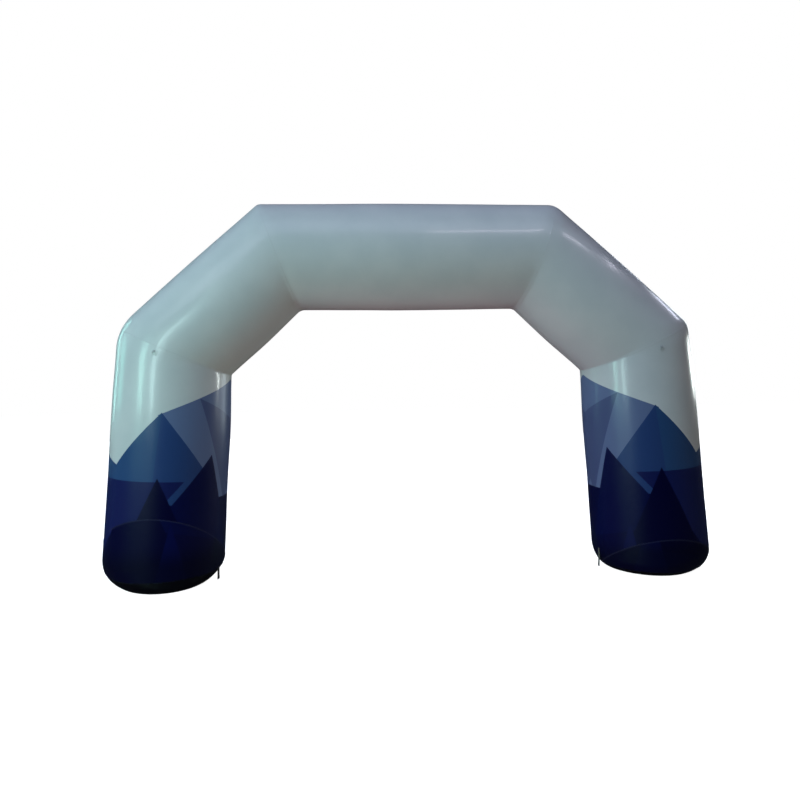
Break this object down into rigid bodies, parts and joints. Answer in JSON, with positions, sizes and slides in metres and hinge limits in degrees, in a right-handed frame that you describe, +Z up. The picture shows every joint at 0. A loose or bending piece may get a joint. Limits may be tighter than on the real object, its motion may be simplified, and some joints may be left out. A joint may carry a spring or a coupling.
{
  "type": "inflatable arch",
  "caption": "Free-standing inflatable arch of mitred air-filled cloth tubes: level beam, sloping shoulders, printed legs on flat dark feet, with tether rings and anchor tails.",
  "frame": {"origin": "On the ground, midway between the two feet and on the tubes' centre plane.", "axes": "+X along the span towards the right foot, +Y through the passage from the front to the back, +Z up."},
  "size_m": [5.3044, 1.0125, 3.341],
  "materials": {
    "white_skin": "satin, plastic-coated white cloth, taut with air",
    "printed_skin": "satin coated cloth printed with angular fields of navy and blue",
    "dark_base": "heavy dark coated cloth, dull from the ground",
    "white_webbing": "woven white webbing",
    "black_webbing": "woven black webbing",
    "grey_webbing": "woven grey-green webbing",
    "ring_steel": "plated steel wire, dulled"
  },
  "bodies": {
    "root": {"base_left": "dark_base", "base_right": "dark_base", "leg_left": "printed_skin", "leg_right": "printed_skin", "foot_panel_left": "printed_skin", "foot_panel_right": "printed_skin", "shoulder_left": "white_skin", "shoulder_right": "white_skin", "beam": "white_skin", "tether_patch_left": "white_skin", "tether_patch_right": "white_skin", "tether_strap_left": "white_webbing", "tether_strap_right": "white_webbing", "tether_ring_left": "ring_steel", "tether_ring_right": "ring_steel", "anchor_tail_left": "black_webbing", "anchor_tail_right": "grey_webbing"}
  },
  "joints": []
}
